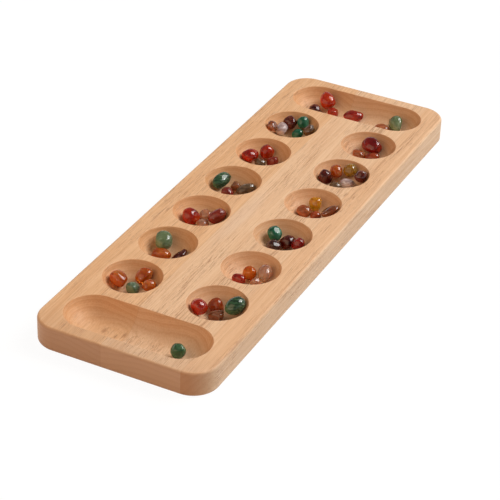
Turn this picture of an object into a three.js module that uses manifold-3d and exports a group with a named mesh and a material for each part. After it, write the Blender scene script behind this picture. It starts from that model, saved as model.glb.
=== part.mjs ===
// A two-row mancala board with its playing stones, in millimetres, +Z up.
// The board is one thick plank, glued up edge to edge from three wooden staves. Twelve round pits
// and a long store across each end are cut into its top, all to one depth. Polished stones lie
// loose in the hollows, each leaning with the wall that it rests on.
// The origin is under the middle of the board, on the surface that it stands on. +X runs along
// the board, and the left row is the one on the +Y side.

import * as THREE from 'three';
import { ConvexGeometry } from 'three/addons/geometries/ConvexGeometry.js';
import { mergeVertices } from 'three/addons/utils/BufferGeometryUtils.js';
import Module from 'manifold-3d';

const wasm = await Module();
wasm.setup();

// The hollows
const pitRadius = 23.2;
const storeRadius = 22.1;
const hollowDepth = 15.8;
const rimRadius = 0.8;
const pitsPerRow = 6;

// The wood left around and under the hollows
const pitWeb = 8.2;
const rowWeb = 25.7;
const storeWeb = 9.7;
const endMargin = 11.4;
const sideMargin = 14.45;
const floorThickness = 4.85;

// The plank's rounding, and its two outer staves; the middle stave is what lies between them
const cornerRadius = 20.8;
const edgeRadius = 2.4;
const leftStaveWidth = 62.4;
const rightStaveWidth = 19.9;

// The usual stone, which each stone's own shares make larger or smaller
const stoneLength = 12;
const stoneWidth = 10.8;
const stoneHeight = 9.6;

// Clearances: between two stones, under a stone, and past a surface that a cut goes through
const stoneGap = 0.35;
const seatGap = 0.3;
const overrun = 4;

// Fineness of the faces, and the grid that vertices are rounded to before a cut
const hollowSides = 32;
const bowlSteps = 6;
const rimSteps = 2;
const cornerSteps = 4;
const edgeSteps = 3;
const stoneDetail = 1;
const weldGrid = 0.0001;
const settleRounds = 160;

// Worked out from the sizes above
const boardThickness = hollowDepth + floorThickness;
const pitPitch = 2 * pitRadius + pitWeb;
const rowOffset = rowWeb / 2 + pitRadius;
const lastPitOffset = (pitsPerRow - 1) / 2 * pitPitch;
const storeOffset = lastPitOffset + pitRadius + storeWeb + storeRadius;
const storeHalfLength = rowOffset + pitRadius;
const boardLength = 2 * (storeOffset + storeRadius + endMargin);
const boardWidth = 2 * (rowOffset + pitRadius + sideMargin);
const leftSeam = boardWidth / 2 - leftStaveWidth;
const rightSeam = rightStaveWidth - boardWidth / 2;

const up = new THREE.Vector3(0, 0, 1);

// The forms that tumbling leaves. A form is the space inside soft planes: its sides face these
// shares of a full turn and rise by these shares of a quarter turn, and a top and a bottom plane
// close it. A low sharpness melts the planes into a ball, a high one keeps them as facets.
const evenTurnShares = [0, 0.25, 0.5, 0.75];
const levelRiseShares = [0, 0, 0, 0];
const chipTurnShares = [0, 0.21, 0.42, 0.6, 0.83];
const chipRiseShares = [0.2, -0.1, 0.15, -0.2, 0.1];
const stoneForms = {
  ball: { sharpness: 2, turnShares: evenTurnShares, riseShares: levelRiseShares },
  oval: { sharpness: 2.4, turnShares: evenTurnShares, riseShares: [0.1, 0, -0.1, 0] },
  barrel: { sharpness: 3.6, turnShares: evenTurnShares, riseShares: [0.05, 0.1, -0.05, -0.1] },
  egg: { sharpness: 2.6, turnShares: [0, 0.3, 0.5, 0.7], riseShares: [0, 0.1, 0.15, -0.1] },
  wedge: { sharpness: 3.4, turnShares: [0.03, 0.36, 0.69], riseShares: [0.15, -0.15, 0.2] },
  chip: { sharpness: 3.8, turnShares: chipTurnShares, riseShares: chipRiseShares },
};

const stoneColours = {
  amber: 0x9a5a2c,
  white: 0xcfc3b8,
  rust: 0x6b2a1c,
  green: 0x3f6f52,
  moss: 0x5d7a55,
  olive: 0x4d4630,
  red: 0xa83324,
  slate: 0x4c5752,
  coral: 0xb9502f,
  clear: 0xcdbdb0,
  jade: 0x6f9a83,
  maroon: 0x4a1d22,
  pale: 0xb4c9ae,
  pink: 0xc9a596,
  plum: 0x3b2733,
  teal: 0x4f7f7c,
  orange: 0xc8702f,
  brown: 0x6a4632,
  yellow: 0xc59a48,
  crimson: 0x8f2230,
};

// The stones, hollow by hollow. Each row holds a colour, a form, the length, width and height as
// shares of the usual stone's, the turn as a share of a full turn, and the place as shares of the
// hollow's half length along X and along Y.
const stoneShares = {
  left_1: [
    ['amber', 'oval', 0.86, 0.84, 0.82, 0.1, -0.18, 0.56],
    ['white', 'egg', 0.94, 0.86, 0.86, 0.06, 0, 0.47],
    ['rust', 'barrel', 0.86, 0.8, 0.84, 0.2, 0.38, 0.29],
    ['green', 'ball', 0.9, 0.96, 1.02, 0, 0.54, -0.11],
    ['moss', 'oval', 0.8, 0.8, 0.8, 0.4, 0.21, -0.17],
    ['olive', 'chip', 0.92, 0.9, 0.84, 0.15, 0.1, -0.67],
  ],
  left_2: [
    ['rust', 'barrel', 1.14, 0.9, 0.92, -0.06, -0.08, 0.44],
    ['red', 'ball', 1.04, 1.06, 1.08, 0, 0.47, 0.08],
    ['slate', 'chip', 0.8, 0.84, 0.84, 0.6, -0.17, 0.07],
    ['coral', 'oval', 0.86, 0.86, 0.84, 0.25, 0.13, -0.33],
  ],
  left_3: [
    ['jade', 'oval', 1.7, 0.94, 0.98, -0.02, 0.07, 0.44],
    ['maroon', 'egg', 1, 0.92, 0.9, 0.55, -0.18, 0.16],
    ['clear', 'wedge', 0.76, 0.78, 0.75, 0.2, 0.31, 0.02],
    ['slate', 'oval', 1.26, 0.94, 0.76, -0.14, 0.16, -0.4],
  ],
  left_4: [
    ['red', 'egg', 1.16, 1.08, 1.04, 0.35, -0.04, 0.33],
    ['white', 'barrel', 0.82, 0.84, 0.84, 0.12, 0.33, 0.03],
    ['clear', 'oval', 0.86, 0.9, 0.8, 0.4, -0.09, -0.12],
    ['maroon', 'oval', 1.18, 1, 1, -0.1, 0.19, -0.45],
  ],
  left_5: [
    ['pale', 'oval', 1.3, 1.26, 1.24, 0.1, 0.25, 0.31],
    ['amber', 'barrel', 1.14, 0.96, 0.9, 0.3, -0.14, 0.17],
    ['plum', 'wedge', 1.24, 0.92, 0.48, 0.45, 0.09, -0.42],
  ],
  left_6: [
    ['brown', 'oval', 1.14, 1.06, 1.08, 0.2, -0.02, 0.37],
    ['teal', 'wedge', 0.88, 0.92, 0.94, 0.1, 0.08, 0.02],
    ['orange', 'barrel', 1.06, 0.96, 0.98, -0.05, 0.31, -0.11],
    ['rust', 'egg', 0.84, 0.86, 0.8, 0.4, 0.12, -0.55],
  ],
  right_1: [
    ['maroon', 'oval', 1.46, 1.3, 1.24, 0.17, 0.38, 0.02],
    ['rust', 'barrel', 0.94, 0.9, 0.84, 0.3, -0.16, -0.21],
    ['brown', 'chip', 0.86, 0.9, 0.84, 0.1, -0.22, 0.23],
  ],
  right_2: [
    ['brown', 'egg', 0.92, 0.96, 0.96, 0.3, -0.12, 0.53],
    ['amber', 'oval', 0.9, 0.92, 1, 0.1, 0.4, 0.37],
    ['yellow', 'ball', 0.9, 0.98, 1, 0, 0.62, -0.07],
    ['plum', 'chip', 0.88, 0.94, 0.96, 0.2, 0.3, -0.59],
    ['white', 'oval', 0.96, 0.82, 0.8, -0.2, 0.16, -0.19],
    ['olive', 'barrel', 0.8, 0.84, 0.78, 0.05, -0.2, 0.1],
  ],
  right_3: [
    ['yellow', 'egg', 0.86, 0.86, 0.86, 0.1, 0.47, 0.09],
    ['rust', 'oval', 0.94, 0.96, 0.8, 0.3, 0, 0.26],
    ['coral', 'ball', 0.76, 0.8, 0.84, 0, 0, -0.19],
    ['slate', 'oval', 1.16, 0.82, 0.66, -0.15, 0.1, -0.5],
  ],
  right_4: [
    ['green', 'ball', 1.02, 1.1, 1.16, 0, 0.25, 0.42],
    ['plum', 'barrel', 0.94, 0.96, 0.88, 0.1, -0.24, 0.21],
    ['maroon', 'egg', 1, 0.98, 0.98, 0.4, 0.22, -0.12],
    ['red', 'chip', 0.96, 0.92, 0.84, 0.2, 0.02, -0.57],
  ],
  right_5: [
    ['maroon', 'oval', 0.86, 0.86, 0.82, 0.2, -0.33, 0.27],
    ['orange', 'ball', 0.88, 0.96, 1.02, 0, 0.22, 0.14],
    ['pink', 'oval', 1.24, 0.94, 0.96, 0.06, 0.32, -0.37],
    ['clear', 'wedge', 0.82, 0.84, 0.78, 0.3, -0.22, -0.3],
  ],
  right_6: [
    ['red', 'oval', 1, 1.06, 1.06, 0.3, -0.24, 0.5],
    ['crimson', 'egg', 0.98, 0.92, 0.86, 0.2, 0.25, 0.15],
    ['brown', 'wedge', 1.02, 0.94, 0.84, 0.45, -0.02, 0],
    ['green', 'oval', 1.22, 1.12, 1.12, -0.08, 0.3, -0.49],
  ],
  far_store: [
    ['coral', 'egg', 1.36, 1.14, 1.14, 0.6, 0.34, 0.57],
    ['maroon', 'oval', 0.94, 0.92, 0.86, 0.1, 0.01, 0.63],
    ['red', 'wedge', 0.82, 0.84, 0.84, 0.1, 0, 0.36],
    ['crimson', 'oval', 1.38, 0.98, 0.88, -0.16, 0.14, 0.06],
    ['pale', 'egg', 1.16, 1.02, 1.04, 0.1, 0.26, -0.6],
    ['brown', 'barrel', 0.98, 0.92, 0.6, 0.2, -0.09, -0.44],
  ],
  near_store: [
    ['green', 'ball', 0.92, 1.02, 1.1, 0, -0.06, -0.58],
  ],
};

// A hollow's bowl is a cap of a ball, which has this radius
function bowlBallRadius(radius) {
  return (radius ** 2 + hollowDepth ** 2) / (2 * hollowDepth);
}

// The half section of a hollow of this radius, from its lowest point up over the rounded rim to
// well above the board, and back to the axis
function hollowProfile(radius) {
  const ballRadius = bowlBallRadius(radius);
  const ballHeight = floorThickness + ballRadius;
  const rimOut = Math.sqrt(hollowDepth * (2 * (ballRadius + rimRadius) - hollowDepth));
  const rimAngle = Math.asin(rimOut / (ballRadius + rimRadius));
  const points = [new THREE.Vector2(0, floorThickness)];
  for (let step = 1; step <= bowlSteps; step++) {
    const angle = rimAngle * step / bowlSteps;
    points.push(new THREE.Vector2(ballRadius * Math.sin(angle), ballHeight - ballRadius * Math.cos(angle)));
  }
  for (let step = rimSteps - 1; step >= 0; step--) {
    const angle = rimAngle * step / rimSteps;
    const drop = rimRadius * (1 - Math.cos(angle));
    points.push(new THREE.Vector2(rimOut - rimRadius * Math.sin(angle), boardThickness - drop));
  }
  points.push(new THREE.Vector2(rimOut, boardThickness + overrun));
  points.push(new THREE.Vector2(0, boardThickness + overrun));
  return points;
}

// A hollow: where it is, the half length of its straight middle along Y, and its half section
function hollowAt(x, y, radius, halfStraight) {
  const ballRadius = bowlBallRadius(radius);
  return { x, y, radius, halfStraight, ballRadius, profile: hollowProfile(radius) };
}

function allHollows() {
  const hollows = {};
  for (let pit = 0; pit < pitsPerRow; pit++) {
    const x = lastPitOffset - pit * pitPitch;
    hollows[`left_${pit + 1}`] = hollowAt(x, rowOffset, pitRadius, 0);
    hollows[`right_${pit + 1}`] = hollowAt(x, -rowOffset, pitRadius, 0);
  }
  const halfStraight = storeHalfLength - storeRadius;
  hollows.far_store = hollowAt(storeOffset, 0, storeRadius, halfStraight);
  hollows.near_store = hollowAt(-storeOffset, 0, storeRadius, halfStraight);
  return hollows;
}

// Merged corners on the grid, with the triangles that close up to nothing left out
function closedMesh(geometry) {
  const bare = new THREE.BufferGeometry();
  const snapped = Float32Array.from(geometry.attributes.position.array, (value) => snap(value));
  bare.setAttribute('position', new THREE.BufferAttribute(snapped, 3));
  bare.setIndex(geometry.index);
  const merged = mergeVertices(bare, weldGrid / 2);
  const corners = merged.index.array;
  const kept = [];
  for (let i = 0; i < corners.length; i += 3) {
    const [a, b, c] = corners.slice(i, i + 3);
    if (a !== b && b !== c && c !== a) {
      kept.push(a, b, c);
    }
  }
  merged.setIndex(kept);
  return merged;
}

function snap(value) {
  return Math.round(value / weldGrid) * weldGrid;
}

function toSolid(geometry) {
  const mesh = closedMesh(geometry);
  return new wasm.Manifold(new wasm.Mesh({
    numProp: 3,
    vertProperties: mesh.attributes.position.array,
    triVerts: Uint32Array.from(mesh.index.array),
  }));
}

function toGeometry(solid) {
  const mesh = solid.getMesh();
  const geometry = new THREE.BufferGeometry();
  geometry.setAttribute('position', new THREE.BufferAttribute(mesh.vertProperties, 3));
  geometry.setIndex(new THREE.BufferAttribute(mesh.triVerts, 1));
  geometry.computeVertexNormals();
  return geometry;
}

// A revolved section whose two halves are drawn apart along Y, which makes a pit where the
// straight middle is nothing, and a long store otherwise
function hollowCutter(hollow) {
  const halfStep = Math.PI / hollowSides;
  const cutter = new THREE.LatheGeometry(hollow.profile, hollowSides, halfStep);
  cutter.rotateX(Math.PI / 2);
  const corners = cutter.attributes.position;
  for (let i = 0; i < corners.count; i++) {
    const column = Math.floor(i / hollow.profile.length);
    const side = -Math.sign(Math.cos(halfStep * (1 + 2 * column)));
    corners.setY(i, corners.getY(i) + side * hollow.halfStraight);
  }
  return toSolid(cutter.translate(hollow.x, hollow.y, 0));
}

// The plank before it is hollowed: a rectangle with round corners, and round edges all along
function plankBlank() {
  const outline = new THREE.Shape();
  const x = boardLength / 2 - cornerRadius;
  const y = boardWidth / 2 - cornerRadius;
  outline.absarc(x, y, cornerRadius, 0, Math.PI / 2);
  outline.absarc(-x, y, cornerRadius, Math.PI / 2, Math.PI);
  outline.absarc(-x, -y, cornerRadius, Math.PI, Math.PI * 3 / 2);
  outline.absarc(x, -y, cornerRadius, Math.PI * 3 / 2, Math.PI * 2);
  const blank = new THREE.ExtrudeGeometry(outline, {
    depth: boardThickness - 2 * edgeRadius,
    curveSegments: cornerSteps,
    bevelSegments: edgeSteps,
    bevelThickness: edgeRadius,
    bevelSize: edgeRadius,
    bevelOffset: -edgeRadius,
  });
  return toSolid(blank.translate(0, 0, edgeRadius));
}

function hollowedPlank(hollows) {
  let plank = plankBlank();
  for (const hollow of Object.values(hollows)) {
    plank = plank.subtract(hollowCutter(hollow));
  }
  return plank;
}

// The part of the plank between two glue lines
function stave(plank, fromY, toY) {
  const slab = new THREE.BoxGeometry(boardLength + 2 * overrun, toY - fromY, boardThickness + 2 * overrun);
  slab.translate(0, (fromY + toY) / 2, boardThickness / 2);
  return toGeometry(plank.intersect(toSolid(slab)));
}

function addStaves(group, hollows) {
  const plank = hollowedPlank(hollows);
  const outside = boardWidth / 2 + overrun;
  const pieces = [
    ['stave_left', leftSeam, outside, 0xdcac83],
    ['stave_middle', rightSeam, leftSeam, 0xe4bb96],
    ['stave_right', -outside, rightSeam, 0xe0b48c],
  ];
  for (const [name, fromY, toY, color] of pieces) {
    const wood = new THREE.MeshStandardMaterial({ color, roughness: 0.6, metalness: 0 });
    const mesh = new THREE.Mesh(stave(plank, fromY, toY), wood);
    mesh.name = name;
    group.add(mesh);
  }
}

// The outward directions of a form's soft planes
function formPlanes(form) {
  const planes = [up.clone(), up.clone().negate()];
  form.turnShares.forEach((turnShare, i) => {
    const turn = turnShare * 2 * Math.PI;
    const rise = form.riseShares[i] * Math.PI / 2;
    const level = Math.cos(rise);
    planes.push(new THREE.Vector3(level * Math.cos(turn), level * Math.sin(turn), Math.sin(rise)));
  });
  return planes;
}

// A ball drawn in by the form's soft planes, with no hollow anywhere, then brought to its length,
// width and height
function stoneGeometry(form, size) {
  const planes = formPlanes(form);
  const corners = cornersOf(new THREE.IcosahedronGeometry(1, stoneDetail));
  for (const corner of corners) {
    let pull = 0;
    for (const plane of planes) {
      pull += Math.max(0, corner.dot(plane)) ** form.sharpness;
    }
    corner.divideScalar(pull ** (1 / form.sharpness));
  }
  const hull = new ConvexGeometry(corners);
  hull.deleteAttribute('normal');
  const merged = mergeVertices(hull);
  merged.center();
  merged.computeBoundingBox();
  const raw = merged.boundingBox.getSize(new THREE.Vector3());
  merged.scale(size.x / raw.x, size.y / raw.y, size.z / raw.z);
  merged.computeVertexNormals();
  return merged;
}

function cornersOf(geometry) {
  const corners = [];
  for (let i = 0; i < geometry.attributes.position.count; i++) {
    corners.push(new THREE.Vector3().fromBufferAttribute(geometry.attributes.position, i));
  }
  return corners;
}

function looseStone(hollowName, hollow, row) {
  const [colour, formName, lengthShare, widthShare, heightShare, turnShare, xShare, yShare] = row;
  const size = new THREE.Vector3(
    stoneLength * lengthShare,
    stoneWidth * widthShare,
    stoneHeight * heightShare,
  );
  const geometry = stoneGeometry(stoneForms[formName], size);
  return {
    name: `stone_${hollowName}_${colour}`,
    color: stoneColours[colour],
    geometry,
    shape: cornersOf(geometry),
    turn: new THREE.Quaternion().setFromAxisAngle(up, turnShare * 2 * Math.PI),
    place: new THREE.Vector2(
      xShare * hollow.radius,
      yShare * (hollow.radius + hollow.halfStraight),
    ),
  };
}

// How far a place in the hollow is from the hollow's middle line, and in which direction
function fromMiddle(hollow, x, y) {
  const along = THREE.MathUtils.clamp(y, -hollow.halfStraight, hollow.halfStraight);
  return new THREE.Vector2(x, y - along);
}

// Turns the stone's top towards the hollow's middle as far as the wall under it slopes
function lean(stone, hollow) {
  const out = fromMiddle(hollow, stone.place.x, stone.place.y).divideScalar(hollow.ballRadius);
  const height = Math.sqrt(Math.max(0, 1 - out.lengthSq()));
  const wallFacing = new THREE.Vector3(-out.x, -out.y, height).normalize();
  stone.pose = new THREE.Quaternion().setFromUnitVectors(up, wallFacing).multiply(stone.turn);
  stone.corners = stone.shape.map((corner) => corner.clone().applyQuaternion(stone.pose));
}

function reach(corners, direction) {
  let far = 0;
  for (const corner of corners) {
    far = Math.max(far, corner.x * direction.x + corner.y * direction.y);
  }
  return far;
}

// Moves two stones apart, seen from above, until each can be lifted past the other
function pushApart(first, second) {
  const way = second.place.clone().sub(first.place);
  const distance = way.length();
  way.normalize();
  const needed = reach(first.corners, way) + reach(second.corners, way.clone().negate()) + stoneGap;
  const half = Math.max(0, needed - distance) / 2;
  first.place.addScaledVector(way, -half);
  second.place.addScaledVector(way, half);
}

function keepInside(stone, hollow) {
  const out = fromMiddle(hollow, stone.place.x, stone.place.y);
  const distance = out.length();
  out.normalize();
  const over = Math.max(0, distance + reach(stone.corners, out) + stoneGap - hollow.radius);
  stone.place.addScaledVector(out, -over);
}

function settle(stones, hollow) {
  for (let round = 0; round < settleRounds; round++) {
    stones.forEach((stone) => lean(stone, hollow));
    stones.forEach((stone) => keepInside(stone, hollow));
    for (let i = 0; i < stones.length; i++) {
      for (let j = i + 1; j < stones.length; j++) {
        pushApart(stones[i], stones[j]);
      }
    }
  }
}

// The height of the wood at a distance from the hollow's middle line, as its flat facets have it
function woodHeight(hollow, distance) {
  const reached = distance / Math.cos(Math.PI / hollowSides);
  for (let i = 1; i < hollow.profile.length; i++) {
    const inner = hollow.profile[i - 1];
    const outer = hollow.profile[i];
    if (reached <= outer.x) {
      return THREE.MathUtils.mapLinear(reached, inner.x, outer.x, inner.y, outer.y);
    }
  }
  return boardThickness;
}

// The height of the stone's middle when it lies on the wood, with the clearance under it
function seatHeight(stone, hollow) {
  let height = 0;
  for (const corner of stone.corners) {
    const out = fromMiddle(hollow, stone.place.x + corner.x, stone.place.y + corner.y);
    height = Math.max(height, woodHeight(hollow, out.length()) - corner.z);
  }
  return height + seatGap;
}

function addStones(group, hollowName, hollow) {
  const stones = stoneShares[hollowName].map((row) => looseStone(hollowName, hollow, row));
  settle(stones, hollow);
  for (const stone of stones) {
    const gloss = new THREE.MeshStandardMaterial({ color: stone.color, roughness: 0.15, metalness: 0 });
    const mesh = new THREE.Mesh(stone.geometry, gloss);
    mesh.name = stone.name;
    mesh.quaternion.copy(stone.pose);
    mesh.position.set(
      hollow.x + stone.place.x,
      hollow.y + stone.place.y,
      seatHeight(stone, hollow),
    );
    group.add(mesh);
  }
}

function mancalaBoard() {
  const group = new THREE.Group();
  const hollows = allHollows();
  addStaves(group, hollows);
  for (const [name, hollow] of Object.entries(hollows)) {
    addStones(group, name, hollow);
  }
  return group;
}

export default mancalaBoard();
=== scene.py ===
"""Dresses a two-row mancala board: three glued staves of pale wood, and the polished stones in its
hollows. Shapes are in metres. Inside the wood and stone materials, lengths are in millimetres. The
board's outer sizes come from the staves' solids in model.glb."""

import math
import random

import bmesh
import bpy
from mathutils import Matrix, Vector, noise


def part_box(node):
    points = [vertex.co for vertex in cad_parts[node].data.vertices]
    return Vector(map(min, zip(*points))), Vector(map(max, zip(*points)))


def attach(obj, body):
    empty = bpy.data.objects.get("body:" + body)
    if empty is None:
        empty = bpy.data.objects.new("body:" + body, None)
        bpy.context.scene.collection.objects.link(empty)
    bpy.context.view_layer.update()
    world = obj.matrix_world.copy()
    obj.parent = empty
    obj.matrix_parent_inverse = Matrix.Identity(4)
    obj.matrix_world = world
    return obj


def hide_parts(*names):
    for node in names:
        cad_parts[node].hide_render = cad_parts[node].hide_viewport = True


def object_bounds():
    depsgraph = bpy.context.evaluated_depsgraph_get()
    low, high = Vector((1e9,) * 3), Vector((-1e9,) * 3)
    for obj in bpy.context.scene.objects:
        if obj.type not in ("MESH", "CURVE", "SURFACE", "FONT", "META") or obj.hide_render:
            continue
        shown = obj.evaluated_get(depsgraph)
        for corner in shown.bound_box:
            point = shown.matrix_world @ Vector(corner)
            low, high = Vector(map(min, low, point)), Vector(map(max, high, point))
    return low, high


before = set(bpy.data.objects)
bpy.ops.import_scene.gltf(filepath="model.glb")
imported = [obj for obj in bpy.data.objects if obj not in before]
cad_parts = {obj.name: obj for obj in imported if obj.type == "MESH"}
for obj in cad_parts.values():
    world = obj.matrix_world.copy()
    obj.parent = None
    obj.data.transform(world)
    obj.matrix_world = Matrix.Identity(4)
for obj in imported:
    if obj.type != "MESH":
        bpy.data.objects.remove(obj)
cad_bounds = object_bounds()

# The hollows and the rounding of the plank, as the solids have them
PIT_RADIUS = 0.0232
STORE_RADIUS = 0.0221
HOLLOW_DEPTH = 0.0158
RIM_RADIUS = 0.0008
PITS_PER_ROW = 6
PIT_WEB = 0.0082
ROW_WEB = 0.0257
STORE_WEB = 0.0097
CORNER_RADIUS = 0.0208
EDGE_RADIUS = 0.0024
OVERRUN = 0.004

# Fineness of the dressed meshes
HOLLOW_SIDES = 96
BOWL_STEPS = 28
RIM_STEPS = 5
CORNER_STEPS = 20
EDGE_STEPS = 6
FIRST_RING_SHARE = 0.02
STONE_LEVELS = 3
SMOOTH_ANGLE = math.radians(32)
WELD = 1e-6
# The solids' split corners lie a little further apart than the cuts made here
CORNER_WELD = 1e-5

# The view of the photograph
VIEW_TARGET = Vector((-0.0313, -0.0100, 0))
VIEW_DISTANCE = 1.4916
VIEW_AZIMUTH = math.radians(-154.03)
VIEW_ELEVATION = math.radians(32.55)
VIEW_ROLL = math.radians(2.077)
LENS = 135.95
SENSOR = 36

# Each lamp: azimuth, elevation, distance, size, power and colour. The large ones light the
# board, and the small ones only put crisp points of light on the stones.
DAYLIGHT = (1, 0.985, 0.965)
LAMPS = {
    "key": (-43, 46, 4, 2.5, 153, DAYLIGHT),
    "window": (-56, 40, 4, 0.36, 15, DAYLIGHT),
    "fill": (158, 26, 3, 4, 70, (1, 0.68, 0.42)),
    "spark": (165, 16, 3, 0.2, 2.2, (1, 0.9, 0.8)),
}
SKY_COLOUR = (1, 0.985, 0.96, 1)
SKY_STRENGTH = 0.2

# The white sweep that the board lies on. What is seen or mirrored of it is mostly plain white.
SWEEP_FLAT = 8
SWEEP_CURVE = 3.5
SWEEP_SIDES = 96
SWEEP_STEPS = 12
SWEEP_TONE = 250
SWEEP_GLOW = 1.02
SWEEP_GLOW_SHARE = 0.92

BOARD_BODY = "board"
STAVES = {"stave_left": "wood_left", "stave_middle": "wood_middle", "stave_right": "wood_right"}


def board_box():
    """The lowest and highest corner of the three staves together."""
    boxes = [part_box(name) for name in STAVES]
    low = Vector(min(box[0][i] for box in boxes) for i in range(3))
    high = Vector(max(box[1][i] for box in boxes) for i in range(3))
    return low, high


BOARD_LOW, BOARD_HIGH = board_box()
THICKNESS = BOARD_HIGH.z
PITCH = 2 * PIT_RADIUS + PIT_WEB
ROW_OFFSET = ROW_WEB / 2 + PIT_RADIUS
LAST_PIT_OFFSET = (PITS_PER_ROW - 1) / 2 * PITCH
STORE_OFFSET = LAST_PIT_OFFSET + PIT_RADIUS + STORE_WEB + STORE_RADIUS
STORE_HALF_STRAIGHT = ROW_OFFSET + PIT_RADIUS - STORE_RADIUS


def new_object(name, bm):
    mesh = bpy.data.meshes.new(name)
    bm.to_mesh(mesh)
    bm.free()
    thing = bpy.data.objects.new(name, mesh)
    bpy.context.scene.collection.objects.link(thing)
    return thing


def applied(thing):
    """The object's mesh with its modifiers applied."""
    bpy.context.view_layer.update()
    seen = thing.evaluated_get(bpy.context.evaluated_depsgraph_get())
    return bpy.data.meshes.new_from_object(seen)


def ball_radius(radius):
    """The radius of the ball that a hollow is a cap of."""
    return (radius**2 + HOLLOW_DEPTH**2) / (2 * HOLLOW_DEPTH)


def hollow_profile(radius):
    """Points (distance, height) from near the bowl's lowest point, over the rim, to above it."""
    ball = ball_radius(radius)
    ball_height = THICKNESS - HOLLOW_DEPTH + ball
    rim_out = math.sqrt(HOLLOW_DEPTH * (2 * (ball + RIM_RADIUS) - HOLLOW_DEPTH))
    rim_angle = math.asin(rim_out / (ball + RIM_RADIUS))
    points = []
    for step in range(BOWL_STEPS + 1):
        angle = rim_angle * max(step / BOWL_STEPS, FIRST_RING_SHARE)
        points.append((ball * math.sin(angle), ball_height - ball * math.cos(angle)))
    for step in reversed(range(RIM_STEPS)):
        angle = rim_angle * step / RIM_STEPS
        out = rim_out - RIM_RADIUS * math.sin(angle)
        points.append((out, THICKNESS - RIM_RADIUS * (1 - math.cos(angle))))
    points.append((rim_out, THICKNESS + OVERRUN))
    return points


def stadium(radius, height, centre, half_straight):
    """A ring of points: a circle whose two halves are drawn apart along Y."""
    ring = []
    for i in range(HOLLOW_SIDES):
        # half a step on, so that no point lies where the halves part
        angle = 2 * math.pi * (i + 0.5) / HOLLOW_SIDES
        shift = math.copysign(half_straight, math.sin(angle))
        point = Vector((radius * math.cos(angle), radius * math.sin(angle) + shift, height))
        ring.append(point + centre)
    return ring


def skin(bm, rings):
    """Joins rings of points into a closed tube with a flat end on each side."""
    rows = [[bm.verts.new(point) for point in ring] for ring in rings]
    for lower, upper in zip(rows, rows[1:]):
        for i in range(len(lower)):
            j = (i + 1) % len(lower)
            bm.faces.new((lower[i], lower[j], upper[j], upper[i]))
    bm.faces.new(list(reversed(rows[0])))
    bm.faces.new(rows[-1])


def add_hollow(bm, x, y, radius, half_straight=0):
    """Adds the solid that is milled away for one hollow."""
    centre = Vector((x, y, 0))
    profile = hollow_profile(radius)
    skin(bm, [stadium(out, height, centre, half_straight) for out, height in profile])


def cutter_object():
    """All that is milled away: the two rows of pits, and the store at each end."""
    bm = bmesh.new()
    for pit in range(PITS_PER_ROW):
        x = LAST_PIT_OFFSET - pit * PITCH
        add_hollow(bm, x, ROW_OFFSET, PIT_RADIUS)
        add_hollow(bm, x, -ROW_OFFSET, PIT_RADIUS)
    add_hollow(bm, STORE_OFFSET, 0, STORE_RADIUS, STORE_HALF_STRAIGHT)
    add_hollow(bm, -STORE_OFFSET, 0, STORE_RADIUS, STORE_HALF_STRAIGHT)
    return new_object("cutters", bm)


def rounded_outline(inset, height):
    """The plank's outline from above, drawn in by inset."""
    radius = CORNER_RADIUS - inset
    x = BOARD_HIGH.x - CORNER_RADIUS
    y = BOARD_HIGH.y - CORNER_RADIUS
    ring = []
    for quarter, (side_x, side_y) in enumerate(((1, 1), (-1, 1), (-1, -1), (1, -1))):
        for step in range(CORNER_STEPS + 1):
            angle = math.pi / 2 * (quarter + step / CORNER_STEPS)
            out_x = side_x * x + radius * math.cos(angle)
            out_y = side_y * y + radius * math.sin(angle)
            ring.append(Vector((out_x, out_y, height)))
    return ring


def blank_object():
    """The plank before it is milled, with its lower and upper edges rounded."""
    rings = []
    for step in range(EDGE_STEPS + 1):
        angle = math.pi / 2 * step / EDGE_STEPS
        inset = EDGE_RADIUS * (1 - math.sin(angle))
        rings.append(rounded_outline(inset, EDGE_RADIUS * (1 - math.cos(angle))))
    for step in range(EDGE_STEPS + 1):
        angle = math.pi / 2 * step / EDGE_STEPS
        inset = EDGE_RADIUS * (1 - math.cos(angle))
        rings.append(rounded_outline(inset, THICKNESS - EDGE_RADIUS * (1 - math.sin(angle))))
    bm = bmesh.new()
    skin(bm, rings)
    return new_object("plank", bm)


def hollowed_plank():
    """The mesh of the whole plank with its hollows milled out."""
    plank, cutters = blank_object(), cutter_object()
    cut = plank.modifiers.new("cut", "BOOLEAN")
    cut.operation = "DIFFERENCE"
    cut.solver = "EXACT"
    cut.object = cutters
    mesh = applied(plank)
    bpy.data.objects.remove(plank)
    bpy.data.objects.remove(cutters)
    return mesh


def cut_off(bm, y, side):
    """Keeps what lies below y (side 1) or above it (side -1), and closes the cut."""
    everything = bm.verts[:] + bm.edges[:] + bm.faces[:]
    normal = (0, side, 0)
    cut = bmesh.ops.bisect_plane(
        bm, geom=everything, plane_co=(0, y, 0), plane_no=normal, clear_outer=True, dist=WELD
    )
    edges = [e for e in cut["geom_cut"] if isinstance(e, bmesh.types.BMEdge)]
    bmesh.ops.triangle_fill(bm, edges=edges, use_beauty=True, normal=normal)


def add_stave(node, plank):
    """One stave: the part of the plank between the glue lines that its solid lies between."""
    low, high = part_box(node)
    bm = bmesh.new()
    bm.from_mesh(plank)
    if high.y < BOARD_HIGH.y - WELD:
        cut_off(bm, high.y, 1)
    if low.y > BOARD_LOW.y + WELD:
        cut_off(bm, low.y, -1)
    bmesh.ops.recalc_face_normals(bm, faces=bm.faces)
    piece = new_object(node + "_wood", bm)
    piece.data.shade_smooth()
    piece.data.set_sharp_from_angle(angle=SMOOTH_ANGLE)
    weights = piece.modifiers.new("even_shading", "WEIGHTED_NORMAL")
    weights.keep_sharp = True
    piece.data.materials.clear()
    piece.data.materials.append(WOOD_MATERIALS[node])
    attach(piece, BOARD_BODY)
    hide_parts(node)


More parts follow.
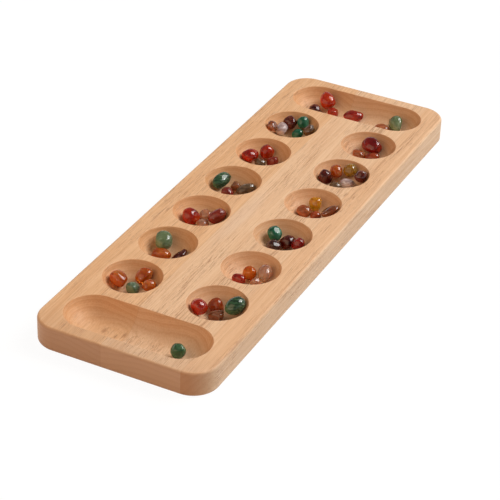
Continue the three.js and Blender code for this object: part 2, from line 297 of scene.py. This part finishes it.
# The noise in the materials, where a look doesn't ask for its own
NOISE_DETAIL = 2
NOISE_ROUGHNESS = 0.55


class Nodes:
    """A short way to build a node tree: each call adds a node and returns its main output."""

    # The sockets of a Mix node that mixes colours
    MIX_FIRST, MIX_SECOND, MIX_RESULT = 6, 7, 2

    def __init__(self, name):
        self.material = bpy.data.materials.new(name)
        self.material.use_nodes = True
        self.tree = self.material.node_tree
        self.tree.nodes.clear()

    def put(self, socket, value):
        if isinstance(value, bpy.types.NodeSocket):
            self.tree.links.new(value, socket)
        else:
            socket.default_value = value

    def node(self, kind, inputs=(), **settings):
        made = self.tree.nodes.new(kind)
        for key, value in settings.items():
            setattr(made, key, value)
        for key, value in dict(inputs).items():
            self.put(made.inputs[key], value)
        return made

    def math(self, operation, *values, clamp=False):
        made = self.node("ShaderNodeMath", operation=operation, use_clamp=clamp)
        for i, value in enumerate(values):
            self.put(made.inputs[i], value)
        return made.outputs[0]

    def vector(self, operation, first, second=None, scale=None):
        made = self.node("ShaderNodeVectorMath", operation=operation)
        self.put(made.inputs[0], first)
        if second is not None:
            self.put(made.inputs[1], second)
        if scale is not None:
            self.put(made.inputs["Scale"], scale)
        return made.outputs["Value" if operation in ("LENGTH", "DOT_PRODUCT") else "Vector"]

    def parts(self, vector):
        return self.node("ShaderNodeSeparateXYZ", {0: vector}).outputs

    def noise(
        self, place, stretch, detail=NOISE_DETAIL, roughness=NOISE_ROUGHNESS, output="Factor"
    ):
        """Noise of one lump a millimetre, drawn out by the inverse of stretch."""
        stretched = self.vector("MULTIPLY", place, stretch)
        inputs = {"Vector": stretched, "Scale": 1, "Detail": detail, "Roughness": roughness}
        made = self.node("ShaderNodeTexNoise", inputs)
        return made.outputs[0 if output == "Factor" else 1]

    def drift(self, place, stretch, reach):
        """A drifting offset, as likely to one side as to the other."""
        colour = self.noise(place, stretch, output="Color")
        return self.vector("SCALE", self.vector("SUBTRACT", colour, (0.5, 0.5, 0.5)), scale=reach)

    def spread(self, value, low, high, to_low=0, to_high=1, form="LINEAR"):
        """Maps low..high to to_low..to_high, held at both ends."""
        inputs = {0: value, 1: low, 2: high, 3: to_low, 4: to_high}
        return self.node("ShaderNodeMapRange", inputs, interpolation_type=form).outputs[0]

    def mix(self, factor, first, second, blend="MIX"):
        made = self.node("ShaderNodeMix", data_type="RGBA", blend_type=blend)
        self.put(made.inputs[0], factor)
        self.put(made.inputs[self.MIX_FIRST], first)
        self.put(made.inputs[self.MIX_SECOND], second)
        return made.outputs[self.MIX_RESULT]

    def shade(self, factor, colour, shade):
        """Paints shade: darkens the colour by the shade, as far as factor says."""
        return self.mix(factor, colour, self.mix(1, colour, shade, "MULTIPLY"))

    def surface(self, inputs, bump=None, bump_depth=0):
        if bump is not None:
            bumped = self.node("ShaderNodeBump", {"Height": bump, "Distance": bump_depth})
            inputs = dict(inputs, Normal=bumped.outputs[0])
        shader = self.node("ShaderNodeBsdfPrincipled", inputs)
        self.finish(shader)
        return self.material

    def finish(self, shader):
        out = self.node("ShaderNodeOutputMaterial")
        self.tree.links.new(shader.outputs[0], out.inputs["Surface"])


def rgb(red, green, blue):
    """A colour as it is seen on a screen, from 0 to 255, as the shader's linear colour."""
    def linear(value):
        # the standard curve of screen colours
        share = value / 255
        return share / 12.92 if share <= 0.04045 else ((share + 0.055) / 1.055) ** 2.4

    return (linear(red), linear(green), linear(blue), 1)


PER_MILLIMETRE = 1000

# Each stave's wood: where the tree's middle lies in Y and Z, the tones of its early wood, late
# wood and cut ends, and how strongly its pores show
WOODS = {
    "stave_left": ((58, -150), rgb(229, 189, 149), rgb(207, 159, 115), rgb(172, 131, 99), 1),
    "stave_middle": ((-34, -190), rgb(230, 196, 161), rgb(208, 165, 127), rgb(178, 137, 104), 1.3),
    "stave_right": ((-150, -60), rgb(229, 191, 154), rgb(207, 162, 122), rgb(169, 121, 83), 1),
}
WOOD_ROUGHNESS = (0.46, 0.58)
WOOD_SHINE = 0.3
# How much the fibres stand up against the pores, and the depth of the whole relief in metres
FIBRE_HEIGHT = 0.3
RELIEF = 0.00012

# How the grain wanders: how the noise is stretched, and how far it shifts a point
DRIFT_STRETCH = (0.004, 0.012, 0.012)
DRIFT_REACH = 14
WAVER_STRETCH = (0.02, 0.1, 0.1)
WAVER_REACH = 2
# The fibres run nearly straight, so they follow only this share of the drift
FIBRE_DRIFT_SHARE = 0.25

# The growth rings and the finer ones between them: their width, where in a ring the late wood
# sets in and ends, and how much they show on the top and in the hollows
RING_WIDTH = 4.2
RING_RISE = (0.3, 0.86)
RING_FALL = (0.9, 1)
RING_WEIGHTS = (0.18, 0.42)
FINE_RING_WIDTH = 1.5
FINE_RING_RISE = (0.35, 0.9)
FINE_RING_FALL = (0.93, 1)
FINE_RING_WEIGHTS = (0.04, 0.28)
# The burl under the near store, where the rings are pushed up: its middle, its shape, its reach,
# and how far it pushes
BURL = (-188, 21, 0)
BURL_SHAPE = (0.8, 1, 1.3)
BURL_REACH = 26
BURL_PUSH = 11

# Streaks along the fibres, broad and fine: their noise, contrast and weight
BROAD_STRETCH = (0.004, 0.06, 0.06)
BROAD_DETAIL = 3
BROAD_CONTRAST = (0.36, 0.66)
BROAD_WEIGHT = 0.22
FIBRE_STRETCH = (0.012, 0.95, 0.95)
FIBRE_DETAIL = 4
FIBRE_NOISE_ROUGHNESS = 0.75
FIBRE_CONTRAST = (0.37, 0.64)
FIBRE_WEIGHT = 0.58

# The pores: dark marks along the fibres in three lengths, each with stretch, contrast and weight,
# and the slow change from where they are few to where they crowd
PORE = rgb(140, 88, 52)
PORE_MARKS = (
    ((0.026, 1, 1), (0.57, 0.64), 0.6),
    ((0.085, 1.5, 1.5), (0.58, 0.66), 0.7),
    ((0.2, 2.6, 2.6), (0.57, 0.68), 0.35),
)
PORE_CROWD_STRETCH = (0.01, 0.06, 0.06)
PORE_CROWD = (0.4, 0.62, 0.25, 1)
PORE_DARKNESS = 0.66
# Pores cut across are only dots, so little of them shows there
PORE_DOTS = (0.08, 0.4, 1, 0.2)

# The hollows lie within these distances from the board's middle lines
HOLLOWS_END = 216
HOLLOWS_SIDE = 62
HOLLOWS_FADE = 1
HOLLOW_STEEPNESS = (0.98, 0.6)
# Painted shade: the steep walls of the hollows are mixed this far towards a darker, more orange
# tone that stands in for the bounced light there
HOLLOW_SHADE_TONE = rgb(206, 128, 56)
HOLLOW_SHADE_SHARE = 0.3
# Painted shade: the long outer sides are a little darker, and so is the end by the near store
OUTER_SIDE = (0.4, 0.95)
SIDE_PAINTED_SHADE = (0.82, 0.87, 0.92, 1)
NEAR_END = (-190, -220)
NEAR_END_PAINTED_SHADE = (0.9, 0.9, 0.92, 1)
# Faces that cut the fibres across show the end tone, and in the hollows less of it
CUT_ENDS = (0.3, 0.95)
HOLLOW_END_SHARE = 0.35
END_RING_SHARE = 0.12

# The glue lines between the staves
SEAMS = (11.3, -53.8)
SEAM_HALF_WIDTH = 0.3
SEAM_DARKNESS = 0.4
# A paler, pinker patch of the middle stave beside the left seam: its middle and its reach
PALE_STAVE = "stave_middle"
PALE_PATCH = (-22, 6, 20)
PALE_REACH = (58, 9, 30)
PALE_TONE = rgb(222, 196, 172)
PALE_EDGE = (1.1, 0.3, 0, 0.4)
# Two dark smudges in the floor of the near store, and how far each reaches
SMUDGES = ((-187, 30, 5), (-187, 13, 5))
SMUDGE_REACH = (5, 2.6, 5)
SMUDGE_EDGE = (1, 0.1, 0, 0.5)


def tree_distance(n, grown, middle):
    """How far from the tree's middle the wood grew, less what the burl pushed it out."""
    from_burl = n.vector("MULTIPLY", n.vector("SUBTRACT", grown, BURL), BURL_SHAPE)
    push = n.spread(n.vector("LENGTH", from_burl), 0, BURL_REACH, BURL_PUSH, 0, "SMOOTHERSTEP")
    from_middle = n.vector("SUBTRACT", grown, (0, *middle))
    away = n.vector("LENGTH", n.vector("MULTIPLY", from_middle, (0, 1, 1)))
    return n.math("SUBTRACT", away, push)


def growth_rings(n, distance, width, rise, fall, form="LINEAR"):
    """The late wood of each ring: it sets in slowly and ends at once."""
    season = n.math("FRACT", n.math("DIVIDE", distance, width))
    setting_in = n.spread(season, *rise, 0, 1, form)
    return n.math("MULTIPLY", setting_in, n.spread(season, *fall, 1, 0, form))


def face_kinds(n, normal, spots):
    """How far a face cuts the fibres across, is steep in a hollow, or is a long outer side."""
    facing = n.parts(normal)
    across = n.math("ABSOLUTE", facing[0])
    steep = n.spread(n.math("ABSOLUTE", facing[2]), *HOLLOW_STEEPNESS)
    inside = n.math(
        "MULTIPLY",
        n.spread(n.math("ABSOLUTE", spots[0]), HOLLOWS_END, HOLLOWS_END - HOLLOWS_FADE),
        n.spread(n.math("ABSOLUTE", spots[1]), HOLLOWS_SIDE, HOLLOWS_SIDE - HOLLOWS_FADE),
    )
    outer = n.spread(n.math("ABSOLUTE", facing[1]), *OUTER_SIDE)
    outer = n.math("MULTIPLY", outer, n.math("SUBTRACT", 1, inside))
    return across, n.math("MULTIPLY", steep, inside), outer


def late_wood(n, distance, straight, fibres, in_hollow):
    """How much of the late wood's darker tone shows, and the growth rings alone."""
    broad = n.spread(n.noise(straight, BROAD_STRETCH, BROAD_DETAIL), *BROAD_CONTRAST)
    rings = growth_rings(n, distance, RING_WIDTH, RING_RISE, RING_FALL, "SMOOTHSTEP")
    fine = growth_rings(n, distance, FINE_RING_WIDTH, FINE_RING_RISE, FINE_RING_FALL)
    fine = n.math("MULTIPLY", fine, n.spread(in_hollow, 0, 1, *FINE_RING_WEIGHTS))
    share = n.math("MULTIPLY", rings, n.spread(in_hollow, 0, 1, *RING_WEIGHTS))
    share = n.math("ADD", share, n.math("MULTIPLY", fibres, FIBRE_WEIGHT))
    share = n.math("ADD", share, fine)
    share = n.math("ADD", share, n.math("MULTIPLY", broad, BROAD_WEIGHT), clamp=True)
    return share, rings


def pores_and_seams(n, place, straight, across, sideways, pore_share):
    """The dark marks of the pores, and the glue lines."""
    marks = []
    for stretch, contrast, weight in PORE_MARKS:
        mark = n.spread(n.noise(straight, stretch), *contrast)
        marks.append(n.math("MULTIPLY", mark, weight))
    pores = marks[0]
    for mark in marks[1:]:
        pores = n.math("ADD", pores, mark)
    crowd = n.spread(n.noise(place, PORE_CROWD_STRETCH), *PORE_CROWD)
    pores = n.math("MULTIPLY", n.math("MULTIPLY", pores, crowd), pore_share, clamp=True)
    pores = n.math("MULTIPLY", pores, n.spread(across, *PORE_DOTS))
    for seam in SEAMS:
        away = n.math("ABSOLUTE", n.math("SUBTRACT", sideways, seam))
        pores = n.math("MAXIMUM", pores, n.spread(away, SEAM_HALF_WIDTH, 0, 0, SEAM_DARKNESS))
    return pores


def patch(n, place, middle, reach, edge):
    """A soft-edged patch of the wood: its strength at a place."""
    off = n.vector("DIVIDE", n.vector("SUBTRACT", place, middle), reach)
    return n.spread(n.vector("LENGTH", off), *edge, "SMOOTHSTEP")


def wood_material(node):
    """Wood that is solid all through: growth rings round the tree's middle, fibres and pores along
    X, and darker, redder faces where the fibres are cut across. Painted shade darkens the steep
    walls of the hollows, the long outer sides and the near end."""
    middle, early, late, end, pore_share = WOODS[node]
    n = Nodes(node + "_wood")
    spot = n.node("ShaderNodeTexCoord").outputs
    place = n.vector("SCALE", spot["Object"], scale=PER_MILLIMETRE)
    drift = n.drift(place, DRIFT_STRETCH, DRIFT_REACH)
    waver = n.drift(place, WAVER_STRETCH, WAVER_REACH)
    grown = n.vector("ADD", n.vector("ADD", place, drift), waver)
    straight = n.vector("ADD", place, n.vector("SCALE", drift, scale=FIBRE_DRIFT_SHARE))
    spots = n.parts(place)
    across, in_hollow, outer_side = face_kinds(n, spot["Normal"], spots)

    distance = tree_distance(n, grown, middle)
    fibres = n.noise(straight, FIBRE_STRETCH, FIBRE_DETAIL, FIBRE_NOISE_ROUGHNESS)
    fibres = n.spread(fibres, *FIBRE_CONTRAST)
    late_share, rings = late_wood(n, distance, straight, fibres, in_hollow)
    colour = n.mix(late_share, early, late)
    if node == PALE_STAVE:
        pale = patch(n, grown, PALE_PATCH, PALE_REACH, PALE_EDGE)
        colour = n.mix(pale, colour, PALE_TONE)
    # painted shade on the steep walls of the hollows
    colour = n.mix(n.math("MULTIPLY", in_hollow, HOLLOW_SHADE_SHARE), colour, HOLLOW_SHADE_TONE)
    # painted shade on the long outer sides
    colour = n.shade(outer_side, colour, SIDE_PAINTED_SHADE)
    end_tone = n.mix(rings, end, n.mix(END_RING_SHARE, end, PORE))
    end_share = n.spread(in_hollow, 0, 1, 1, HOLLOW_END_SHARE)
    end_share = n.math("MULTIPLY", n.spread(across, *CUT_ENDS), end_share)
    colour = n.mix(end_share, colour, end_tone)
    # painted shade on the end by the near store
    colour = n.shade(n.spread(spots[0], *NEAR_END), colour, NEAR_END_PAINTED_SHADE)
    for smudge in SMUDGES:
        smudged = patch(n, grown, smudge, SMUDGE_REACH, SMUDGE_EDGE)
        colour = n.mix(smudged, colour, PORE)

    pores = pores_and_seams(n, place, straight, across, spots[1], pore_share)
    colour = n.mix(n.math("MULTIPLY", pores, PORE_DARKNESS), colour, PORE)
    height = n.math("SUBTRACT", n.math("MULTIPLY", fibres, FIBRE_HEIGHT), pores)
    inputs = {
        "Base Color": colour,
        "Roughness": n.spread(fibres, 0, 1, *WOOD_ROUGHNESS),
        "Specular IOR Level": WOOD_SHINE,
    }
    return n.surface(inputs, height, RELIEF)


WOOD_MATERIALS = {node: wood_material(node) for node in STAVES}

# Each mineral: its dark, middle and light tone, how banded it is, and how clear it is
MINERALS = {
    "carnelian": (rgb(146, 14, 2), rgb(180, 42, 8), rgb(222, 98, 48), 0.1, 0.3),
    "fire_agate": (rgb(160, 20, 2), rgb(192, 52, 8), rgb(232, 112, 54), 0.1, 0.25),
    "garnet": (rgb(108, 2, 2), rgb(134, 6, 2), rgb(176, 56, 40), 0.1, 0.35),
    "crimson": (rgb(138, 18, 8), rgb(172, 46, 26), rgb(210, 96, 78), 0.2, 0.2),
    "oxblood": (rgb(72, 8, 4), rgb(100, 28, 12), rgb(144, 78, 58), 0.15, 0.3),
    "rosewood": (rgb(114, 24, 12), rgb(138, 46, 30), rgb(172, 84, 64), 0.25, 0.15),
    "rust_jasper": (rgb(132, 42, 6), rgb(164, 66, 24), rgb(196, 106, 66), 0.25, 0.2),
    "honey": (rgb(172, 70, 2), rgb(196, 94, 14), rgb(232, 144, 72), 0.15, 0.4),
    "citrine": (rgb(204, 130, 0), rgb(234, 166, 28), rgb(252, 206, 104), 0.1, 0.5),
    "sun_agate": (rgb(194, 88, 0), rgb(222, 110, 6), rgb(240, 150, 60), 0.15, 0.4),
    "olive_agate": (rgb(146, 102, 18), rgb(180, 132, 34), rgb(210, 160, 76), 0.2, 0.45),
    "emerald": (rgb(12, 72, 46), rgb(34, 102, 74), rgb(88, 150, 122), 0.2, 0.15),
    "moss_agate": (rgb(34, 62, 40), rgb(60, 96, 66), rgb(136, 150, 114), 0.8, 0.15),
    "jade": (rgb(96, 112, 76), rgb(120, 140, 102), rgb(182, 196, 162), 0.2, 0.25),
    "teal_quartz": (rgb(84, 108, 78), rgb(108, 132, 104), rgb(176, 190, 162), 0.2, 0.25),
    "forest": (rgb(46, 84, 54), rgb(68, 108, 74), rgb(130, 168, 138), 0.2, 0.2),
    "plum": (rgb(52, 18, 12), rgb(76, 36, 28), rgb(118, 78, 68), 0.15, 0.25),
    "smoke": (rgb(132, 66, 26), rgb(162, 96, 58), rgb(206, 144, 108), 0.3, 0.6),
    "slate": (rgb(88, 68, 46), rgb(122, 96, 70), rgb(186, 150, 116), 0.6, 0.4),
    "lace_agate": (rgb(172, 144, 140), rgb(206, 184, 182), rgb(250, 240, 242), 0.9, 0.1),
    "rose_quartz": (rgb(202, 140, 106), rgb(228, 170, 136), rgb(250, 210, 182), 0.2, 0.6),
    "brown_jasper": (rgb(138, 68, 30), rgb(166, 92, 50), rgb(200, 130, 90), 0.4, 0.05),
    "umber": (rgb(88, 48, 16), rgb(108, 74, 38), rgb(180, 134, 92), 0.3, 0.3),
}

# The mineral that a stone's colour usually stands for
USUAL_MINERAL = {
    "amber": "smoke",
    "brown": "brown_jasper",
    "clear": "rose_quartz",
    "coral": "fire_agate",
    "crimson": "crimson",
    "green": "emerald",
    "jade": "moss_agate",
    "maroon": "rosewood",
    "moss": "emerald",
    "olive": "umber",
    "orange": "honey",
    "pale": "jade",
    "pink": "rose_quartz",
    "plum": "plum",
    "red": "carnelian",
    "rust": "rust_jasper",
    "slate": "slate",
    "teal": "teal_quartz",
    "white": "lace_agate",
    "yellow": "citrine",
}
# The stones that are made of another one
MINERAL_OF = {
    "stone_far_store_maroon": "oxblood",
    "stone_near_store_green": "forest",
    "stone_left_1_rust": "oxblood",
    "stone_left_2_coral": "rosewood",
    "stone_left_2_rust": "carnelian",
    "stone_left_3_clear": "smoke",
    "stone_left_4_white": "rose_quartz",
    "stone_left_5_amber": "honey",
    "stone_left_5_plum": "oxblood",
    "stone_left_6_brown": "honey",
    "stone_left_6_rust": "honey",
    "stone_right_1_maroon": "garnet",
    "stone_right_2_amber": "honey",
    "stone_right_2_brown": "oxblood",
    "stone_right_2_olive": "slate",
    "stone_right_2_plum": "oxblood",
    "stone_right_2_yellow": "olive_agate",
    "stone_right_3_coral": "rust_jasper",
    "stone_right_3_rust": "brown_jasper",
    "stone_right_3_slate": "smoke",
    "stone_right_4_maroon": "oxblood",
    "stone_right_4_red": "garnet",
    "stone_right_5_maroon": "crimson",
    "stone_right_5_orange": "sun_agate",
    "stone_right_6_brown": "smoke",
    "stone_right_6_crimson": "rust_jasper",
    "stone_right_6_green": "moss_agate",
}

STONE_ROUGHNESS = 0.06
STONE_IOR = 1.54
STONE_SHINE = 0.42
# How far light travels inside a stone, in metres, and how much of the surface it lights from
# inside
GLOW_REACH = 0.006
GLOW_WEIGHT = 0.7
# How a stone's clouds and bands lie in it, and how they are bent
BEND_STRETCH = (0.1, 0.1, 0.1)
BEND_REACH = 8
BAND_WAY = (1.5, 0.9, 1.9)
CLOUD_STRETCH = (0.11, 0.11, 0.11)
CLOUD_NOISE_ROUGHNESS = 0.5
CLOUD_CONTRAST = (0.3, 0.7)
DARK_TO_MIDDLE = (0.1, 0.5)
MIDDLE_TO_LIGHT = (0.6, 1, 0, 0.8)
# Painted light: light that enters a clear stone leaves it on the far side, low down, so the side
# away from the key lamp is painted glowing in a tone made of this much of its middle and its light
# one, and the side towards the key lamp is painted a little darker as painted shade
PAINTED_GLOW_SIDE = (-0.526, 0.508, -0.682)
PAINTED_GLOW_OF_MIDDLE = 1.6
PAINTED_GLOW_OF_LIGHT = 0.2
PAINTED_GLOW = (-0.1, 0.8, 0, 0.5)
NEAR_SIDE_PAINTED_SHADE = (-1, 0.2, 0.72, 1)


def mineral_material(name):
    """A polished stone: soft clouds of its three tones, bands where the mineral has them, a
    painted glow on the side away from the key lamp, and painted shade on the side towards it.
    """
    dark, middle, light, banding, clearness = MINERALS[name]
    n = Nodes("mineral_" + name)
    spot = n.node("ShaderNodeTexCoord").outputs
    place = n.vector("SCALE", spot["Object"], scale=PER_MILLIMETRE)
    bent = n.vector("ADD", place, n.drift(place, BEND_STRETCH, BEND_REACH))
    bands = n.spread(n.math("SINE", n.vector("DOT_PRODUCT", bent, BAND_WAY)), -1, 1)
    clouds = n.noise(bent, CLOUD_STRETCH, roughness=CLOUD_NOISE_ROUGHNESS)
    clouds = n.spread(clouds, *CLOUD_CONTRAST)
    band_share = banding / 2
    tone = n.math("MULTIPLY", bands, band_share)
    tone = n.math("ADD", tone, n.math("MULTIPLY", clouds, 1 - band_share))
    colour = n.mix(n.spread(tone, *DARK_TO_MIDDLE), dark, middle)
    colour = n.mix(n.spread(tone, *MIDDLE_TO_LIGHT), colour, light)
    glow = [min(1, PAINTED_GLOW_OF_MIDDLE * middle[i] + PAINTED_GLOW_OF_LIGHT * light[i]) for i in range(3)]
    # painted glow on the side away from the key lamp, and painted shade on the side towards it
    far = n.vector("DOT_PRODUCT", spot["Normal"], PAINTED_GLOW_SIDE)
    colour = n.mix(n.spread(far, *PAINTED_GLOW), colour, (*glow, 1))
    colour = n.mix(1, colour, n.spread(far, *NEAR_SIDE_PAINTED_SHADE), "MULTIPLY")
    inputs = {
        "Base Color": colour,
        "Roughness": STONE_ROUGHNESS,
        "IOR": STONE_IOR,
        "Specular IOR Level": STONE_SHINE,
        "Subsurface Weight": GLOW_WEIGHT,
        "Subsurface Radius": [GLOW_REACH * math.sqrt(middle[i]) for i in range(3)],
        "Subsurface Scale": 1,
        "Transmission Weight": clearness,
    }
    return n.surface(inputs)


MINERAL_MATERIALS = {name: mineral_material(name) for name in MINERALS}

# The polished stones are rounder than their solids, so they fill a little more than their boxes,
# except where a neighbour is close
STONE_FULLNESS = 1.05
STONE_RISE = 1.12
TIGHT_STONES = (
    "stone_left_4_white",
    "stone_left_5_amber",
    "stone_left_5_pale",
    "stone_right_2_olive",
    "stone_right_2_white",
    "stone_right_3_coral",
)
SEAT_GAP = 0.00008
# Tumbling leaves lumps, and a few worn flats. Sizes are shares of the stone's own.
LUMP_SHARE = 0.035
LUMP_CLOSENESS = 1.3
LUMP_DROP = 0.6
WORN_FLATS = (4, 8)
FLAT_DEPTHS = (0.04, 0.17)
FLAT_SOFTNESSES = (0.04, 0.1)
FLAT_STRENGTH = 0.85
# Each stone takes its lumps from its own part of the noise, up to this far away
NOISE_REACH = 50
# Above this the soft edge of a flat is the same as a plain one, and its formula would overflow
SOFT_LIMIT = 30


def welded(node):
    """The CAD node's mesh with its split corners joined again."""
    bm = bmesh.new()
    bm.from_mesh(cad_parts[node].data)
    bmesh.ops.remove_doubles(bm, verts=bm.verts, dist=CORNER_WELD)
    bmesh.ops.recalc_face_normals(bm, faces=bm.faces)
    return bm


def fit_box(mesh, low, high):
    """Stretches the mesh about its middle until it fills the box."""
    corners = [v.co for v in mesh.vertices]
    mesh_low = Vector(min(c[i] for c in corners) for i in range(3))
    mesh_high = Vector(max(c[i] for c in corners) for i in range(3))
    grow = [(high[i] - low[i]) / (mesh_high[i] - mesh_low[i]) for i in range(3)]
    move = Matrix.Translation((low + high) / 2) @ Matrix.Diagonal((*grow, 1))
    mesh.transform(move @ Matrix.Translation(-(mesh_low + mesh_high) / 2))


def wear(mesh, seed):
    """Lumps and worn flats, as tumbling leaves them: the surface only ever moves inwards."""
    chance = random.Random(seed)
    middle = sum((v.co for v in mesh.vertices), Vector()) / len(mesh.vertices)
    reach = sum((v.co - middle).length for v in mesh.vertices) / len(mesh.vertices)
    elsewhere = Vector(chance.uniform(-NOISE_REACH, NOISE_REACH) for _ in range(3))
    flats = []
    for _ in range(chance.randint(*WORN_FLATS)):
        way = Vector(chance.gauss(0, 1) for _ in range(3)).normalized()
        flats.append((way, chance.uniform(*FLAT_DEPTHS), chance.uniform(*FLAT_SOFTNESSES) * reach))
    for vert in mesh.vertices:
        out = vert.co - middle
        lump = noise.noise(out / reach * LUMP_CLOSENESS + elsewhere) - LUMP_DROP
        vert.co = middle + out * (1 + LUMP_SHARE * lump)
    for way, depth, softness in flats:
        far = max((v.co - middle).dot(way) for v in mesh.vertices)
        limit = far * (1 - depth)
        for vert in mesh.vertices:
            over = ((vert.co - middle).dot(way) - limit) / softness
            excess = softness * (math.log1p(math.exp(over)) if over < SOFT_LIMIT else over)
            vert.co -= way * excess * FLAT_STRENGTH


def bowl_under(node):
    """The middle of the hollow that a stone lies in, its radius and half its straight length."""
    hollow = node.removeprefix("stone_").rsplit("_", 1)[0]
    if hollow.endswith("store"):
        x = STORE_OFFSET if hollow == "far_store" else -STORE_OFFSET
        return x, 0, STORE_RADIUS, STORE_HALF_STRAIGHT
    side, number = hollow.split("_")
    x = LAST_PIT_OFFSET - (int(number) - 1) * PITCH
    return x, (ROW_OFFSET if side == "left" else -ROW_OFFSET), PIT_RADIUS, 0


def seat(mesh, node):
    """Draws in whatever would reach into the wood of the bowl."""
    x, y, radius, half_straight = bowl_under(node)
    ball = ball_radius(radius)
    for vert in mesh.vertices:
        along = max(-half_straight, min(half_straight, vert.co.y - y))
        off = vert.co - Vector((x, y + along, THICKNESS - HOLLOW_DEPTH + ball))
        excess = off.length - (ball - SEAT_GAP)
        if excess > 0 and vert.co.z < THICKNESS:
            vert.co -= off.normalized() * excess


def add_stone(node):
    """One polished stone: its solid rounded, worn, and set back into its place in the bowl."""
    rough = new_object(node + "_rough", welded(node))
    rounding = rough.modifiers.new("rounding", "SUBSURF")
    rounding.levels = STONE_LEVELS
    rounding.render_levels = STONE_LEVELS
    mesh = applied(rough)
    bpy.data.objects.remove(rough)
    wear(mesh, node)
    low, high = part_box(node)
    middle = (low + high) / 2
    fullness, rise = (1, 1) if node in TIGHT_STONES else (STONE_FULLNESS, STONE_RISE)
    spread = (high - low) / 2 * fullness
    top = min(low.z + (high.z - low.z) * rise, cad_bounds[1][2])
    low = Vector((middle.x - spread.x, middle.y - spread.y, low.z))
    high = Vector((middle.x + spread.x, middle.y + spread.y, top))
    fit_box(mesh, low, high)
    seat(mesh, node)
    mesh.shade_smooth()
    colour = node.rsplit("_", 1)[1]
    mesh.materials.clear()
    mesh.materials.append(MINERAL_MATERIALS[MINERAL_OF.get(node, USUAL_MINERAL[colour])])
    piece = bpy.data.objects.new(node + "_polished", mesh)
    bpy.context.scene.collection.objects.link(piece)
    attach(piece, node)
    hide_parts(node)


def direction(azimuth, elevation):
    """The unit vector towards an azimuth and an elevation in radians."""
    level = math.cos(elevation)
    return Vector((level * math.cos(azimuth), level * math.sin(azimuth), math.sin(elevation)))


def add_camera():
    data = bpy.data.cameras.new("camera")
    data.lens = LENS
    data.sensor_width = SENSOR
    camera = bpy.data.objects.new("camera", data)
    back = direction(VIEW_AZIMUTH, VIEW_ELEVATION)
    right = Vector((0, 0, 1)).cross(back).normalized()
    up = back.cross(right)
    turn = Matrix.Rotation(VIEW_ROLL, 3, back)
    right, up = turn @ right, turn @ up
    axes = Matrix((right, up, back)).transposed()
    place = Matrix.Translation(VIEW_TARGET + VIEW_DISTANCE * back)
    camera.matrix_world = place @ axes.to_4x4()
    bpy.context.scene.collection.objects.link(camera)
    bpy.context.scene.camera = camera


def add_lamp(name, azimuth, elevation, distance, size, power, colour):
    """A soft square lamp that looks at the board's middle."""
    data = bpy.data.lights.new(name, "AREA")
    data.shape = "SQUARE"
    data.size = size
    data.energy = power
    data.color = colour
    lamp = bpy.data.objects.new(name, data)
    way = direction(math.radians(azimuth), math.radians(elevation))
    lamp.location = way * distance
    lamp.rotation_euler = way.to_track_quat("Z", "Y").to_euler()
    bpy.context.scene.collection.objects.link(lamp)


def sweep_material():
    """White paint that also shows as plain white where it is seen or mirrored."""
    n = Nodes("floor_white")
    tone = rgb(SWEEP_TONE, SWEEP_TONE, SWEEP_TONE)
    paint = n.node("ShaderNodeBsdfDiffuse", {"Color": tone})
    glow = n.node("ShaderNodeEmission", {"Color": (1, 1, 1, 1), "Strength": SWEEP_GLOW})
    path = n.node("ShaderNodeLightPath").outputs
    seen = n.math("MAXIMUM", path["Is Camera Ray"], path["Is Glossy Ray"])
    seen = n.math("MAXIMUM", seen, path["Is Transmission Ray"])
    share = n.math("MULTIPLY", seen, SWEEP_GLOW_SHARE)
    n.finish(n.node("ShaderNodeMixShader", {0: share, 1: paint.outputs[0], 2: glow.outputs[0]}))
    return n.material


def add_floor():
    """A white sweep: flat under the board, and curving up all round far behind it."""
    bm = bmesh.new()
    turns = [2 * math.pi * i / SWEEP_SIDES for i in range(SWEEP_SIDES)]
    rows = []
    for step in range(SWEEP_STEPS + 1):
        rise = math.pi / 2 * step / SWEEP_STEPS
        out = SWEEP_FLAT + SWEEP_CURVE * math.sin(rise)
        height = SWEEP_CURVE * (1 - math.cos(rise))
        ring = [(out * math.cos(t), out * math.sin(t), height) for t in turns]
        rows.append([bm.verts.new(point) for point in ring])
    bm.faces.new(rows[0])
    for lower, upper in zip(rows, rows[1:]):
        for i in range(SWEEP_SIDES):
            j = (i + 1) % SWEEP_SIDES
            bm.faces.new((upper[i], upper[j], lower[j], lower[i]))
    floor = new_object("floor", bm)
    floor.data.shade_smooth()
    floor.data.materials.append(sweep_material())


def add_sky():
    world = bpy.data.worlds.new("sky")
    world.use_nodes = True
    light = world.node_tree.nodes["Background"]
    light.inputs["Color"].default_value = SKY_COLOUR
    light.inputs["Strength"].default_value = SKY_STRENGTH
    bpy.context.scene.world = world


add_camera()
add_sky()
add_floor()
for lamp_name, lamp_values in LAMPS.items():
    add_lamp(lamp_name, *lamp_values)
plank_mesh = hollowed_plank()
for stave_node in STAVES:
    add_stave(stave_node, plank_mesh)
for stone_node in sorted(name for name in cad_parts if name.startswith("stone_")):
    add_stone(stone_node)

bpy.context.scene.view_settings.view_transform = "Standard"
